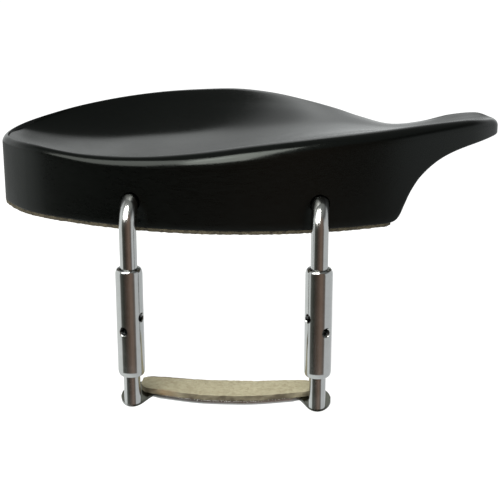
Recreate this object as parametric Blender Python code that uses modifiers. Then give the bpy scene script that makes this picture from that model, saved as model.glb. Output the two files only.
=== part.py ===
"""A side-mounted violin chin rest with a two-screw barrel clamp.

The frame: +X runs along the clamp towards the wing that crosses the tailpiece, +Y runs from the player towards
the bridge, and +Z is up. The origin is on the underside of the plate's cork, midway between the two posts.
"""
import math

import bmesh
import bpy
from mathutils import Matrix, Vector

MM = 0.001
GAP = 0.3                    # clearance between pieces that touch

# Clamp edge of the plate: an arc that follows the outline of the violin's lower bout
EDGE_RADIUS = 90.7
EDGE_CENTRE_X = -1.0
EDGE_FRONT_Y = -9.0

# Carved plate
CORK_THICKNESS = 0.9
FOOT_Z = CORK_THICKNESS + GAP    # underside of the wood along the clamp edge
FOOT_DEPTH = 15.0                # depth of the flat foot behind the clamp edge
RELIEF_HEIGHT = 6.3              # the hollow behind the foot clears the violin's arched top
RELIEF_RUN = 34.0
BACK_RIM_RADIUS = 1.4            # rounding of the crest along the back edge
RIM_BLEND = 22.0                 # how far behind the clamp edge its own rounding has died away
EDGE_ROUND = 0.35                # rounding of the bottom edge
ACROSS = 14                      # grid cells from the clamp edge to the back edge

# Cork under the foot
CORK_SETBACK = 0.1
CORK_STATIONS = [-56.2, -55.6, -54.6, -53.0, -50.5, -47.5] + [-44.0 + 4.0 * k for k in range(21)] + [38.1]

# Two-screw clamp
POST_X = 21.8
POST_Y = -11.0
ROD_RADIUS = 2.0
BORE_RADIUS = ROD_RADIUS + GAP
HOOK_Z = 6.75                    # height of the level legs in the plate
HOOK_END_Y = 4.0
HOOK_HOLE_END_Y = 4.6
HOOK_BEND_RADIUS = 5.5
POST_END_Z = -17.4
BARREL_RADIUS = 3.15
BARREL_LENGTH = 26.2
LEFT_BARREL_Z = -20.9            # centres of the two barrels, which are set one by one
RIGHT_BARREL_Z = -20.1
SHOULDER_RADIAL = 0.55
SHOULDER_AXIAL = 1.4
KEY_HOLE_RADIUS = 1.0
KEY_HOLE_OFFSET = 1.6            # each cross hole's distance from the barrel's middle
STUD_RADIUS = 1.95
STUD_TOP_Z = -23.6
SPIGOT_RADIUS = 1.3

# Foot bracket
BRACKET_TOP_Z = -40.9
BRACKET_THICKNESS = 0.9
BRACKET_BOW = 0.6                # the middle hangs lower than the lugs
BRACKET_HALF_LAND = 4.0          # half the width of the flat stretch in the middle
BRACKET_BACK_Y = 0.8
BOW_HALF_LENGTH = 18.9
PAD_HALF_LENGTH = 20.7
PAD_THICKNESS = 0.9
PAD_SETBACK = 0.25

# Rim crest of the plate, anticlockwise from the left of the clamp edge: x, y, z.
# Along the clamp edge y comes from the arc.
CLAMP_EDGE_CREST = [(-47.0, 17.2), (-34.0, 16.5), (-20.0, 17.0), (-6.0, 18.4), (8.0, 20.2),
                    (22.0, 21.5), (36.0, 22.2), (48.0, 22.6), (57.5, 22.3)]
TIP_CREST = [(62.8, 18.6, 21.3), (64.3, 22.4, 20.8), (63.4, 26.6, 20.6)]
BACK_CREST = [(60.0, 30.4, 20.8), (53.6, 33.0, 19.6), (46.4, 35.0, 17.3), (39.0, 37.2, 16.1),
              (31.8, 42.0, 16.8), (26.0, 48.0, 17.4), (17.5, 53.8, 18.4), (8.5, 58.4, 19.3),
              (-1.5, 59.8, 20.0), (-12.0, 56.4, 20.4), (-22.0, 51.8, 20.5), (-32.0, 45.0, 20.3),
              (-42.0, 37.2, 19.5), (-50.4, 29.4, 18.2)]
LEFT_CREST = [(-55.0, 23.4, 17.2), (-56.5, 17.6, 16.6), (-54.2, 11.4, 16.8)]

# Radius of the crest's rounding along the clamp edge: x, radius
FRONT_RIM_RADIUS = [(-57.0, 1.2), (-46.0, 1.5), (-38.0, 1.7), (-29.0, 2.3), (-20.0, 2.6), (-10.0, 3.2),
                    (0.0, 3.8), (12.0, 4.0), (22.0, 3.7), (36.0, 3.2), (50.0, 2.6), (64.0, 1.6)]

# Greatest depth of the dish below the straight line from rim to rim: x, depth
DISH = [(-57.0, 0.0), (-54.0, 0.8), (-48.0, 3.1), (-40.0, 5.2), (-30.0, 6.9), (-20.0, 7.6), (-10.0, 7.8),
        (0.0, 7.1), (10.0, 5.1), (20.0, 2.3), (30.0, 0.7), (40.0, 0.15), (64.0, 0.0)]

# Section of the dish, with a steep front wall and a long slope behind: share of the way back, share of the depth
DISH_SECTION = [(0.0, 0.0), (0.06, 0.45), (0.10, 0.70), (0.16, 0.89), (0.24, 0.98), (0.32, 1.0), (0.45, 0.965),
                (0.58, 0.91), (0.66, 0.86), (0.72, 0.78), (0.80, 0.59), (0.90, 0.30), (0.97, 0.07), (1.0, 0.0)]

# Hollow side of the wing, from the plate's rounded bottom corner to the tip: x, z
WING_UNDERSIDE = [(38.0, FOOT_Z), (39.4, FOOT_Z + 0.5), (40.4, FOOT_Z + 1.8), (41.1, 4.4), (42.6, 7.7),
                  (44.8, 10.9), (48.3, 13.8), (52.0, 15.5), (57.0, 16.6), (65.0, 17.4)]

# Stations where the plate's grid lines cross it, closest together at the corner under the wing
STATIONS = [-48.0, -44.0, -40.0, -36.0, -32.0, -28.0, -24.0, -20.0, -16.0, -12.0, -8.0, -4.0, 0.0, 4.0, 8.0,
            12.0, 16.0, 20.0, 24.0, 28.0, 31.5, 34.5, 36.8, 38.4, 39.4, 40.2, 41.0, 42.2, 43.8, 45.6, 48.2,
            51.2, 54.4, 57.4]

# Shares of the way back at which the grid lines lie, closest together along both edges
SHARES = [0.5 * j / ACROSS + 0.25 * (1 - math.cos(math.pi * j / ACROSS)) for j in range(ACROSS + 1)]


def smooth(points, x):
    """Value at x of the smooth curve through the (x, value) points, held flat beyond its ends."""
    if x <= points[0][0]:
        return points[0][1]
    if x >= points[-1][0]:
        return points[-1][1]
    i = max(k for k in range(len(points) - 1) if points[k][0] <= x)

    def slope(k):
        low = points[max(k - 1, 0)]
        high = points[min(k + 1, len(points) - 1)]
        return (high[1] - low[1]) / (high[0] - low[0])

    width = points[i + 1][0] - points[i][0]
    t = (x - points[i][0]) / width
    return ((2 * t ** 3 - 3 * t ** 2 + 1) * points[i][1] + (t ** 3 - 2 * t ** 2 + t) * width * slope(i)
            + (3 * t ** 2 - 2 * t ** 3) * points[i + 1][1] + (t ** 3 - t ** 2) * width * slope(i + 1))


def smooth_step(t):
    t = min(max(t, 0.0), 1.0)
    return t * t * (3 - 2 * t)


def clamp_edge_y(x):
    """Where the clamp edge lies at x."""
    reach = EDGE_RADIUS ** 2 - (x - EDGE_CENTRE_X) ** 2
    return EDGE_FRONT_Y + EDGE_RADIUS - math.sqrt(max(reach, 0.0))


# ---------------------------------------------------------------------------------------------- the plate

def loop_point(knots, u):
    """Point at knot number u of the closed smooth curve through the knots."""
    count = len(knots)
    i = math.floor(u)
    t = u - i
    a, b, c, d = (knots[(i + k) % count] for k in (-1, 0, 1, 2))
    return (b * 2 + (c - a) * t + (a * 2 - b * 5 + c * 4 - d) * t ** 2 + (b * 3 - a - c * 3 + d) * t ** 3) / 2


def loop_at_x(knots, low, high, x):
    """Point where the curve crosses x between knot numbers low and high."""
    rising = loop_point(knots, high).x > loop_point(knots, low).x
    for _ in range(50):
        middle = (low + high) / 2
        if (loop_point(knots, middle).x < x) == rising:
            low = middle
        else:
            high = middle
    return loop_point(knots, (low + high) / 2)


def outline_knots():
    """Knots of the plate's outline at crest height, with the numbers of the last knot on the clamp edge and of
    the first and last knots on the back edge."""
    clamp = [Vector((x, clamp_edge_y(x), z)) for x, z in CLAMP_EDGE_CREST]
    knots = clamp + [Vector(p) for p in TIP_CREST + BACK_CREST + LEFT_CREST]
    clamp_end = len(clamp) - 1
    back_start = clamp_end + len(TIP_CREST) + 1
    return knots, (clamp_end, back_start, back_start + len(BACK_CREST) - 1)


def outer_loop():
    """The plate's outline at crest height: clamp edge, tip, back edge and left end, as one closed list."""
    knots, (clamp_end, back_start, back_end) = outline_knots()
    front = [loop_at_x(knots, -1.0, clamp_end + 1.0, x) for x in STATIONS]
    back = [loop_at_x(knots, back_start - 1.0, back_end + 1.0, x) for x in STATIONS]

    def between(first, last, low, high):
        """Points on the curve from near the first point to near the last one, spaced by the shares."""
        fine = [loop_point(knots, low + (high - low) * k / 400) for k in range(401)]
        start = min(range(401), key=lambda k: (fine[k] - first).length)
        end = min(range(401), key=lambda k: (fine[k] - last).length)
        return [fine[round(start + (end - start) * share)] for share in SHARES[1:-1]]

    tip = between(front[-1], back[-1], clamp_end - 1.0, back_start + 1.0)
    left = between(back[0], front[0], back_end - 1.0, len(knots) + 1.0)
    return front + tip + back[::-1] + left


def inset(loop, distances):
    """The loop moved inwards, seen from above, by a distance for each of its points."""
    moved = []
    for k, point in enumerate(loop):
        along = loop[(k + 1) % len(loop)] - loop[k - 1]
        inward = Vector((-along.y, along.x, 0)).normalized()
        moved.append(point + inward * distances[k])
    return moved


def rim_radius(point):
    """Radius of the crest's rounding: wide along the clamp edge, narrow along the back."""
    share = smooth_step((point.y - clamp_edge_y(point.x)) / RIM_BLEND)
    return smooth(FRONT_RIM_RADIUS, point.x) * (1 - share) + BACK_RIM_RADIUS * share


def patch(loop):
    """Coons patch spanned by a closed loop: rows from the left end to the tip, each from front to back."""
    rows = len(STATIONS) - 1
    front = loop[:rows + 1]
    tip = loop[rows:rows + ACROSS + 1]
    back = loop[rows + ACROSS:2 * rows + ACROSS + 1][::-1]
    left = (loop[2 * rows + ACROSS:] + [loop[0]])[::-1]
    grid = []
    for i in range(rows + 1):
        s = i / rows
        row = []
        for j, t in enumerate(SHARES):
            corners = ((front[0] * (1 - s) + front[-1] * s) * (1 - t) + (back[0] * (1 - s) + back[-1] * s) * t)
            row.append(front[i] * (1 - t) + back[i] * t + left[j] * (1 - s) + tip[j] * s - corners)
        grid.append(row)
    return grid


def dished(grid):
    """The grid sunk by the dish."""
    for row in grid:
        for share, point in zip(SHARES, row):
            point.z -= smooth(DISH, point.x) * smooth(DISH_SECTION, share)
    return grid


def underside_z(point):
    """Height of the plate's underside: flat foot, hollow behind it, and the hollow side of the wing."""
    behind_foot = point.y - clamp_edge_y(point.x) - FOOT_DEPTH
    hollow = FOOT_Z + RELIEF_HEIGHT * smooth_step(behind_foot / RELIEF_RUN)
    return max(hollow, smooth(WING_UNDERSIDE, point.x))


def plate_rings(outline):
    """Closed rings from the crest over the rim, down the wall and round the bottom edge."""
    rings = []
    radii = [rim_radius(p) for p in outline]
    for step in range(6):
        angle = math.radians(90 * step / 5)
        ring = inset(outline, [r * (1 - math.sin(angle)) for r in radii])
        rings.append([p - Vector((0, 0, r * (1 - math.cos(angle)))) for p, r in zip(ring, radii)])
    wall_top = rings[-1]
    wall_foot = [Vector((p.x, p.y, underside_z(p) + EDGE_ROUND)) for p in outline]
    for step in range(1, 5):
        rings.append([a.lerp(b, step / 4) for a, b in zip(wall_top, wall_foot)])
    for step in (1, 2):
        angle = math.radians(45 * step)
        ring = inset(outline, [EDGE_ROUND * (1 - math.cos(angle))] * len(outline))
        rings.append([Vector((p.x, p.y, underside_z(q) + EDGE_ROUND * (1 - math.sin(angle))))
                      for p, q in zip(ring, outline)])
    return rings


def boundary_index(i, j, rows):
    """Place in the closed loop of the grid's boundary point at row i, column j."""
    if j == 0:
        return i
    if i == rows:
        return rows + j
    if j == ACROSS:
        return rows + ACROSS + (rows - i)
    if i == 0:
        return 2 * rows + ACROSS + (ACROSS - j)
    return None


def add_patch(mesh, grid, rim_verts, facing_up):
    """Faces of a grid whose boundary points already exist as the verts of a ring."""
    rows = len(grid) - 1
    verts = []
    for i, row in enumerate(grid):
        line = []
        for j, point in enumerate(row):
            place = boundary_index(i, j, rows)
            line.append(mesh.verts.new(point * MM) if place is None else rim_verts[place])
        verts.append(line)
    for i in range(rows):
        for j in range(ACROSS):
            face = [verts[i][j], verts[i + 1][j], verts[i + 1][j + 1], verts[i][j + 1]]
            mesh.faces.new(face if facing_up else face[::-1])


def plate_mesh():
    outline = outer_loop()
    rings = plate_rings(outline)
    mesh = bmesh.new()
    loops = [[mesh.verts.new(p * MM) for p in ring] for ring in rings]
    for upper, lower in zip(loops, loops[1:]):
        for k in range(len(upper)):
            n = (k + 1) % len(upper)
            mesh.faces.new((upper[n], upper[k], lower[k], lower[n]))
    add_patch(mesh, dished(patch(rings[0])), loops[0], True)
    under = patch(rings[-1])
    for row in under:
        for point in row:
            point.z = underside_z(point)
    add_patch(mesh, under, loops[-1], False)
    return finished_mesh("chin_plate", mesh)


# ---------------------------------------------------------------------------------------------- helpers

def finished_mesh(name, mesh):
    """A smooth-shaded mesh made from the bmesh, with its sharp edges kept."""
    data = bpy.data.meshes.new(name)
    mesh.to_mesh(data)
    mesh.free()
    data.shade_smooth()
    data.set_sharp_from_angle(angle=math.radians(35))
    return data


def place(name, data, collection, location=(0, 0, 0)):
    piece = bpy.data.objects.new(name, data)
    piece.location = Vector(location) * MM
    collection.objects.link(piece)
    return piece


def paint(piece, name, colour, roughness, metallic):
    """Give the piece a material of its own kind, made once for all pieces that share it."""
    material = bpy.data.materials.get(name)
    if material is None:
        material = bpy.data.materials.new(name)
        material.use_nodes = True
        shader = material.node_tree.nodes["Principled BSDF"]
        shader.inputs["Base Color"].default_value = (*colour, 1.0)
        shader.inputs["Roughness"].default_value = roughness
        shader.inputs["Metallic"].default_value = metallic
    piece.data.materials.append(material)


def black_wood(piece):
    paint(piece, "black_wood", (0.012, 0.012, 0.012), 0.35, 0.0)


def chrome(piece):
    paint(piece, "chrome", (0.78, 0.78, 0.77), 0.08, 1.0)


def cork(piece):
    paint(piece, "cork", (0.52, 0.42, 0.26), 0.9, 0.0)


def turned(name, profile, collection, location, steps):
    """A solid of revolution about Z. The closed profile of (radius, z) runs down its outer side."""
    mesh = bmesh.new()
    verts = [mesh.verts.new((r * MM, 0, z * MM)) for r, z in profile]
    for k in range(len(verts)):
        mesh.edges.new((verts[k], verts[(k + 1) % len(verts)]))
    data = bpy.data.meshes.new(name)
    mesh.to_mesh(data)
    mesh.free()
    piece = place(name, data, collection, location)
    screw = piece.modifiers.new("turn", 'SCREW')
    screw.axis = 'Z'
    screw.steps = steps
    screw.render_steps = steps
    screw.use_merge_vertices = True
    screw.merge_threshold = 0.0001 * MM
    screw.use_smooth_shade = True
    return piece


def turned_core(name, profile, collection, location, steps):
    """As turned, for a solid whose profile starts and ends on the axis, and so is left open there."""
    mesh = bmesh.new()
    verts = [mesh.verts.new((r * MM, 0, z * MM)) for r, z in profile]
    for first, second in zip(verts, verts[1:]):
        mesh.edges.new((first, second))
    bmesh.ops.spin(mesh, geom=mesh.verts[:] + mesh.edges[:], cent=(0, 0, 0), axis=(0, 0, 1),
                   angle=math.tau, steps=steps, use_duplicate=False)
    bmesh.ops.remove_doubles(mesh, verts=mesh.verts, dist=0.001 * MM)
    bmesh.ops.recalc_face_normals(mesh, faces=mesh.faces)
    return place(name, finished_mesh(name, mesh), collection, location)


def rod_cutter(name, radius, length, centre, rotation, collection):
    """A hidden round cutter of the given length, centred on a point and turned by a matrix."""
    mesh = bmesh.new()
    bmesh.ops.create_cone(mesh, cap_ends=True, segments=32, radius1=radius * MM, radius2=radius * MM,
                          depth=length * MM)
    data = bpy.data.meshes.new(name)
    mesh.to_mesh(data)
    mesh.free()
    cutter = place(name, data, collection)
    cutter.matrix_world = Matrix.Translation(Vector(centre) * MM) @ rotation
    cutter.display_type = 'WIRE'
    cutter.hide_render = True
    return cutter


def cut(piece, cutter):
    boolean = piece.modifiers.new(cutter.name, 'BOOLEAN')
    boolean.operation = 'DIFFERENCE'
    boolean.solver = 'EXACT'
    boolean.object = cutter


# ---------------------------------------------------------------------------------------------- the pieces

def make_plate(parts, cutters):
    """Black wood plate with two blind holes for the hooks."""
    plate = place("chin_plate", plate_mesh(), parts)
    black_wood(plate)
    along_y = Matrix.Rotation(math.radians(90), 4, 'X')
    for side, x in (("left", -POST_X), ("right", POST_X)):
        mouth_y = clamp_edge_y(x) - 5
        middle = (x, (mouth_y + HOOK_HOLE_END_Y) / 2, HOOK_Z)
        drill = rod_cutter(side + "_hook_hole", BORE_RADIUS, HOOK_HOLE_END_Y - mouth_y, middle, along_y, cutters)
        cut(plate, drill)


def strip_mesh(name, columns, thickness, cells):
    """A flat-topped strip: columns of (x, front y, back y, top z), filled across in cells."""
    mesh = bmesh.new()
    grid = [[mesh.verts.new(Vector((x, front + (back - front) * j / cells, top)) * MM)
             for j in range(cells + 1)] for x, front, back, top in columns]
    for i in range(len(columns) - 1):
        for j in range(cells):
            mesh.faces.new((grid[i][j], grid[i + 1][j], grid[i + 1][j + 1], grid[i][j + 1]))
    data = finished_mesh(name, mesh)
    piece = bpy.data.objects.new(name, data)
    shell = piece.modifiers.new("thickness", 'SOLIDIFY')
    shell.thickness = thickness * MM
    shell.offset = -1.0
    return piece


def make_plate_cork(parts):
    """Thin cork under the flat foot, a little inside the plate's edge."""
    knots, marks = outline_knots()
    leftmost = len(knots) - 2
    columns = []
    for x in CORK_STATIONS:
        front = loop_at_x(knots, leftmost, len(knots) + marks[0], x).y
        back = loop_at_x(knots, marks[1] - 1.0, leftmost, x).y
        columns.append((x, front + CORK_SETBACK, min(clamp_edge_y(x) + FOOT_DEPTH, back) - 2 * CORK_SETBACK,
                        CORK_THICKNESS))
    strip = strip_mesh("plate_cork", columns, CORK_THICKNESS, 2)
    parts.objects.link(strip)
    cork(strip)


def make_hook_post(name, x, parts):
    """Round rod: a level leg in the plate, a quarter bend, and a vertical leg down into the barrel."""
    route = [(x, HOOK_END_Y, HOOK_Z), (x, POST_Y + HOOK_BEND_RADIUS, HOOK_Z)]
    for step in range(1, 9):
        angle = math.radians(90 * step / 8)
        route.append((x, POST_Y + HOOK_BEND_RADIUS * (1 - math.sin(angle)),
                      HOOK_Z - HOOK_BEND_RADIUS * (1 - math.cos(angle))))
    route.append((x, POST_Y, POST_END_Z))
    curve = bpy.data.curves.new(name + "_curve", 'CURVE')
    curve.dimensions = '3D'
    curve.bevel_depth = ROD_RADIUS * MM
    curve.bevel_resolution = 6
    curve.use_fill_caps = True
    spline = curve.splines.new('POLY')
    spline.points.add(len(route) - 1)
    for point, target in zip(spline.points, route):
        point.co = (*(Vector(target) * MM), 1.0)
    guide = place(name + "_curve", curve, parts)
    bpy.context.view_layer.update()
    evaluated = guide.evaluated_get(bpy.context.evaluated_depsgraph_get())
    mesh = bmesh.new()
    tube = bpy.data.meshes.new_from_object(evaluated)
    mesh.from_mesh(tube)
    bmesh.ops.remove_doubles(mesh, verts=mesh.verts, dist=0.001 * MM)
    bpy.data.objects.remove(guide)
    rod = place(name, finished_mesh(name, mesh), parts)
    chrome(rod)


def make_barrel(name, x, z, turn, parts, cutters):
    """Barrel nut: a tube with rounded shoulders and two cross holes at right angles."""
    half = BARREL_LENGTH / 2
    shoulder = []
    for step in range(5):
        angle = math.radians(90 * step / 4)
        shoulder.append((BARREL_RADIUS - SHOULDER_RADIAL * (1 - math.sin(angle)),
                         half - SHOULDER_AXIAL * (1 - math.cos(angle))))
    outer = shoulder + [(r, -z_up) for r, z_up in reversed(shoulder)]
    bore = [(BORE_RADIUS, -half), (BORE_RADIUS, half)]
    barrel = turned(name, outer + bore, parts, (x, POST_Y, z), 40)
    chrome(barrel)
    for label, offset, extra in (("upper", KEY_HOLE_OFFSET, 0), ("lower", -KEY_HOLE_OFFSET, 90)):
        across = Matrix.Rotation(math.radians(turn + extra), 4, 'Z') @ Matrix.Rotation(math.radians(90), 4, 'Y')
        drill = rod_cutter(name + "_" + label + "_key_hole", KEY_HOLE_RADIUS, 3 * BARREL_RADIUS,
                           (x, POST_Y, z + offset), across, cutters)
        cut(barrel, drill)


def make_stud(name, x, parts):
    """Lower rod: a thick shank above the lug and a thin spigot riveted through it."""
    bottom = BRACKET_TOP_Z - BRACKET_THICKNESS
    profile = [(0, STUD_TOP_Z), (STUD_RADIUS - 0.4, STUD_TOP_Z), (STUD_RADIUS, STUD_TOP_Z - 0.4),
               (STUD_RADIUS, BRACKET_TOP_Z + GAP), (SPIGOT_RADIUS, BRACKET_TOP_Z + GAP),
               (SPIGOT_RADIUS, bottom - 0.1), (0, bottom - 0.1)]
    stud = turned_core(name, profile, parts, (x, POST_Y, 0), 28)
    chrome(stud)


def bracket_top(x):
    """Height of the bracket's upper face: level at the lugs, lower and flat in the middle."""
    run = (abs(x) - BRACKET_HALF_LAND) / (BOW_HALF_LENGTH - BRACKET_HALF_LAND)
    return BRACKET_TOP_Z - BRACKET_BOW * (1 - smooth_step(run))


def bracket_front(x):
    """Front edge of the bracket between its lugs, parallel to the violin's edge."""
    return clamp_edge_y(x + EDGE_CENTRE_X)


def make_bracket(parts, cutters):
    """Stamped plate with a rounded lug at each front corner, with a hole for each stud."""
    lug = [(17.6, -6.8, 0.8), (18.3, -8.0, 0.8), (19.1, -9.9, 0.7), (19.9, -11.5, 0.5), (20.8, -12.5, 0.1),
           (21.8, -12.9, -0.6), (22.8, -12.6, -1.4), (23.7, -11.7, -2.6), (24.5, -10.1, -4.2), (25.0, -8.1, -6.1)]
    middle = [0.0, BRACKET_HALF_LAND, 6.5, 9.0, 11.5, 14.0, 16.0]
    half = [(x, bracket_front(x), BRACKET_BACK_Y) for x in middle] + lug
    both = [(-x, front, back) for x, front, back in half[:0:-1]] + half
    columns = [(x, front, back, bracket_top(x)) for x, front, back in both if x != 0.0]
    bracket = strip_mesh("foot_bracket", columns, BRACKET_THICKNESS, 4)
    parts.objects.link(bracket)
    chrome(bracket)
    level = Matrix.Identity(4)
    for side, x in (("left", -POST_X), ("right", POST_X)):
        cut(bracket, rod_cutter(side + "_spigot_hole", SPIGOT_RADIUS + GAP, 4 * BRACKET_THICKNESS,
                                (x, POST_Y, BRACKET_TOP_Z - BRACKET_THICKNESS / 2), level, cutters))


def make_bracket_cork(parts):
    """Cork pad on the bracket, set back a little from its edges."""
    middle = [BRACKET_HALF_LAND, 6.5, 9.0, 11.5, 14.0, 16.5, PAD_HALF_LENGTH]
    xs = [-x for x in reversed(middle)] + middle
    columns = [(x, bracket_front(x) + PAD_SETBACK, BRACKET_BACK_Y - PAD_SETBACK,
                bracket_top(x) + GAP + PAD_THICKNESS) for x in xs]
    pad = strip_mesh("bracket_cork", columns, PAD_THICKNESS, 2)
    parts.objects.link(pad)
    cork(pad)


def main():
    for old in list(bpy.data.objects):
        bpy.data.objects.remove(old)
    parts = bpy.data.collections.new("violin_chin_rest")
    cutters = bpy.data.collections.new("cutters")
    bpy.context.scene.collection.children.link(parts)
    bpy.context.scene.collection.children.link(cutters)
    make_plate(parts, cutters)
    make_plate_cork(parts)
    make_hook_post("left_hook_post", -POST_X, parts)
    make_hook_post("right_hook_post", POST_X, parts)
    make_barrel("left_barrel", -POST_X, LEFT_BARREL_Z, -25, parts, cutters)
    make_barrel("right_barrel", POST_X, RIGHT_BARREL_Z, 37, parts, cutters)
    make_stud("left_stud", -POST_X, parts)
    make_stud("right_stud", POST_X, parts)
    make_bracket(parts, cutters)
    make_bracket_cork(parts)


main()
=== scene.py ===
"""The looks of the violin chin rest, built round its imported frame.

Each CAD piece is stood for by a finer mesh of the same size in the same place. The frame is the part's own:
+X along the clamp towards the wing, +Y from the player towards the bridge, +Z up, origin under the plate's cork.
Lengths are in millimetres until the meshes are made.
"""
import math

import bmesh
import bpy
from mathutils import Matrix, Vector, noise


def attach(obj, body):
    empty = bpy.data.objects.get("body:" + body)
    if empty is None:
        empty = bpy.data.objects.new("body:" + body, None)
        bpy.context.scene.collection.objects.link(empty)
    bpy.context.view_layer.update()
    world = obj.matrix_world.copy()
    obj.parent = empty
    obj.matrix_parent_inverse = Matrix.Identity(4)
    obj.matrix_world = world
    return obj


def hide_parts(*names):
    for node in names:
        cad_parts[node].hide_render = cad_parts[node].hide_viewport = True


MM = 0.001

# ---- the part's own dimensions

GAP = 0.3
EDGE_RADIUS = 90.7
EDGE_CENTRE_X = -1.0
EDGE_FRONT_Y = -9.0
CORK_END_X = 38.1
CORK_CORNER = 1.2
WOOD_FOOT_Z = 0.72
FOOT_DEPTH = 15.0
RELIEF_HEIGHT = 6.3
RELIEF_RUN = 34.0
BACK_RIM_RADIUS = 1.4
RIM_BLEND = 22.0
EDGE_ROUND = 0.35
POST_X = 21.8
POST_Y = -11.0
ROD_RADIUS = 2.0
BORE_RADIUS = ROD_RADIUS + GAP
HOOK_Z = 6.75
HOOK_END_Y = 4.0
HOOK_HOLE_END_Y = 4.6
HOOK_HOLE_RADIUS = 2.18
HOOK_BEND_RADIUS = 5.5
POST_END_Z = -17.4
BARREL_RADIUS = 3.15
BARREL_LENGTH = 26.2
LEFT_BARREL_Z = -20.9
RIGHT_BARREL_Z = -20.1
SHOULDER_RADIAL = 0.55
SHOULDER_AXIAL = 1.4
KEY_HOLE_RADIUS = 1.0
KEY_HOLE_OFFSET = 1.6
STUD_RADIUS = 1.95
STUD_TOP_Z = -23.6
BRACKET_TOP_Z = -40.9
BRACKET_THICKNESS = 0.9
BRACKET_BOW = 0.6
BRACKET_HALF_LAND = 4.0
BRACKET_BACK_Y = 0.8
EAR_START_X = 15.5
EAR_START_Y = -4.0
EAR_SLOPE = 0.05
EAR_BLEND = 2.5
LUG_START_X = 17.6
LUG_LENGTH = 7.4
LUG_FRONT = [(17.6, -6.8), (18.3, -8.0), (19.1, -9.9), (19.9, -11.5), (20.8, -12.5), (21.8, -12.9), (22.8, -12.6),
             (23.7, -11.7), (24.5, -10.1), (25.0, -8.1)]
LUG_BACK = [(17.6, 0.8), (18.3, 0.8), (19.1, 0.8), (19.9, 0.5), (20.8, 0.1), (21.8, -0.6), (22.8, -1.4),
            (23.7, -2.6), (24.5, -4.2), (25.0, -6.1)]
LUG_HOLE_RADIUS = 1.6
ROLLED_EDGE = 0.36
RIVET_RADIUS = 1.5
PAD_HALF_LENGTH = 20.7
PAD_CORNER = 2.6
BOW_HALF_LENGTH = 18.9
PAD_THICKNESS = 0.9
PAD_SETBACK = 0.42
THREAD_PITCH = 0.7
THREAD_DEPTH = 0.38
THREAD_ROWS_LENGTH = 9.4
THREAD_LENGTH = 9.3
THREAD_FADE = (0.4, 0.8)

CLAMP_EDGE_CREST = [(-47.0, 17.2), (-34.0, 16.5), (-20.0, 17.0), (-6.0, 18.4), (8.0, 20.2),
                    (22.0, 21.5), (36.0, 22.2), (48.0, 22.59), (57.5, 22.3)]
TIP_CREST = [(62.8, 18.6, 21.3), (64.28, 22.4, 20.8), (63.4, 26.6, 20.6)]
BACK_CREST = [(60.0, 30.4, 20.8), (53.6, 33.0, 19.6), (46.4, 35.0, 17.3), (39.0, 37.2, 16.1),
              (31.8, 42.0, 16.8), (26.0, 48.0, 17.4), (17.5, 53.8, 18.4), (8.5, 58.4, 19.3),
              (-1.5, 59.8, 20.0), (-12.0, 56.4, 20.4), (-22.0, 51.8, 20.5), (-32.0, 45.0, 20.3),
              (-42.0, 37.2, 19.5), (-50.4, 29.4, 18.2)]
LEFT_CREST = [(-55.0, 23.4, 17.2), (-56.45, 17.6, 16.6), (-54.2, 11.4, 16.8)]
FRONT_RIM_RADIUS = [(-57.0, 1.7), (-46.0, 1.6), (-38.0, 1.7), (-29.0, 2.3), (-20.0, 2.6), (-10.0, 3.2),
                    (0.0, 3.8), (12.0, 4.0), (22.0, 3.7), (36.0, 3.2), (50.0, 2.6), (64.0, 1.6)]
DISH = [(-57.0, 0.0), (-56.0, 0.1), (-54.0, 0.8), (-48.0, 3.1), (-40.0, 5.2), (-30.0, 6.9), (-20.0, 7.6),
        (-10.0, 7.8), (0.0, 7.1), (10.0, 5.1), (20.0, 2.3), (30.0, 0.7), (40.0, 0.15), (64.0, 0.0)]
DISH_SECTION = [(0.0, 0.0), (0.01, 0.02), (0.03, 0.17), (0.06, 0.45), (0.10, 0.70), (0.16, 0.89), (0.24, 0.98),
                (0.32, 1.0), (0.45, 0.965), (0.58, 0.91), (0.66, 0.86), (0.72, 0.78), (0.80, 0.59), (0.90, 0.30),
                (0.97, 0.07), (0.99, 0.01), (1.0, 0.0)]
WING_UNDERSIDE = [(37.6, WOOD_FOOT_Z), (38.8, WOOD_FOOT_Z + 0.25), (39.7, WOOD_FOOT_Z + 0.9),
                  (40.4, WOOD_FOOT_Z + 2.0), (41.1, 4.4), (42.6, 7.7), (44.8, 10.9), (48.3, 13.8), (52.0, 15.5),
                  (57.0, 16.6), (65.0, 17.4)]
COARSE_STATIONS = [-48.0 + 4.0 * k for k in range(20)] + [31.5, 34.5, 36.6, 37.6, 38.4, 39.2, 40.0, 40.8, 42.2,
                                                         43.8, 45.6, 48.2, 51.2, 54.4, 57.4]

# ---- colours: painted shade for the bracket's lugs, then the pad cork's darker sides, rust mark and darker back edge

# painted shade: an olive black laid on the bracket's lugs
LUG_PAINTED_SHADE = (0.055, 0.057, 0.042, 1.0)
# dark brown for the pad cork's side faces
CORK_SIDE_BROWN = (0.035, 0.024, 0.012, 1.0)
RUST = (0.22, 0.13, 0.055, 1.0)
# dark brown for the pad cork's back edge
BACK_EDGE_BROWN = (0.05, 0.035, 0.02, 1.0)

# ---- the studio: angles in degrees, 0 towards -Y; the softbox distance in metres; a stop in ROOM is an azimuth
# with colour and cover, and one in BACKDROP an azimuth with a grey level

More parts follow.
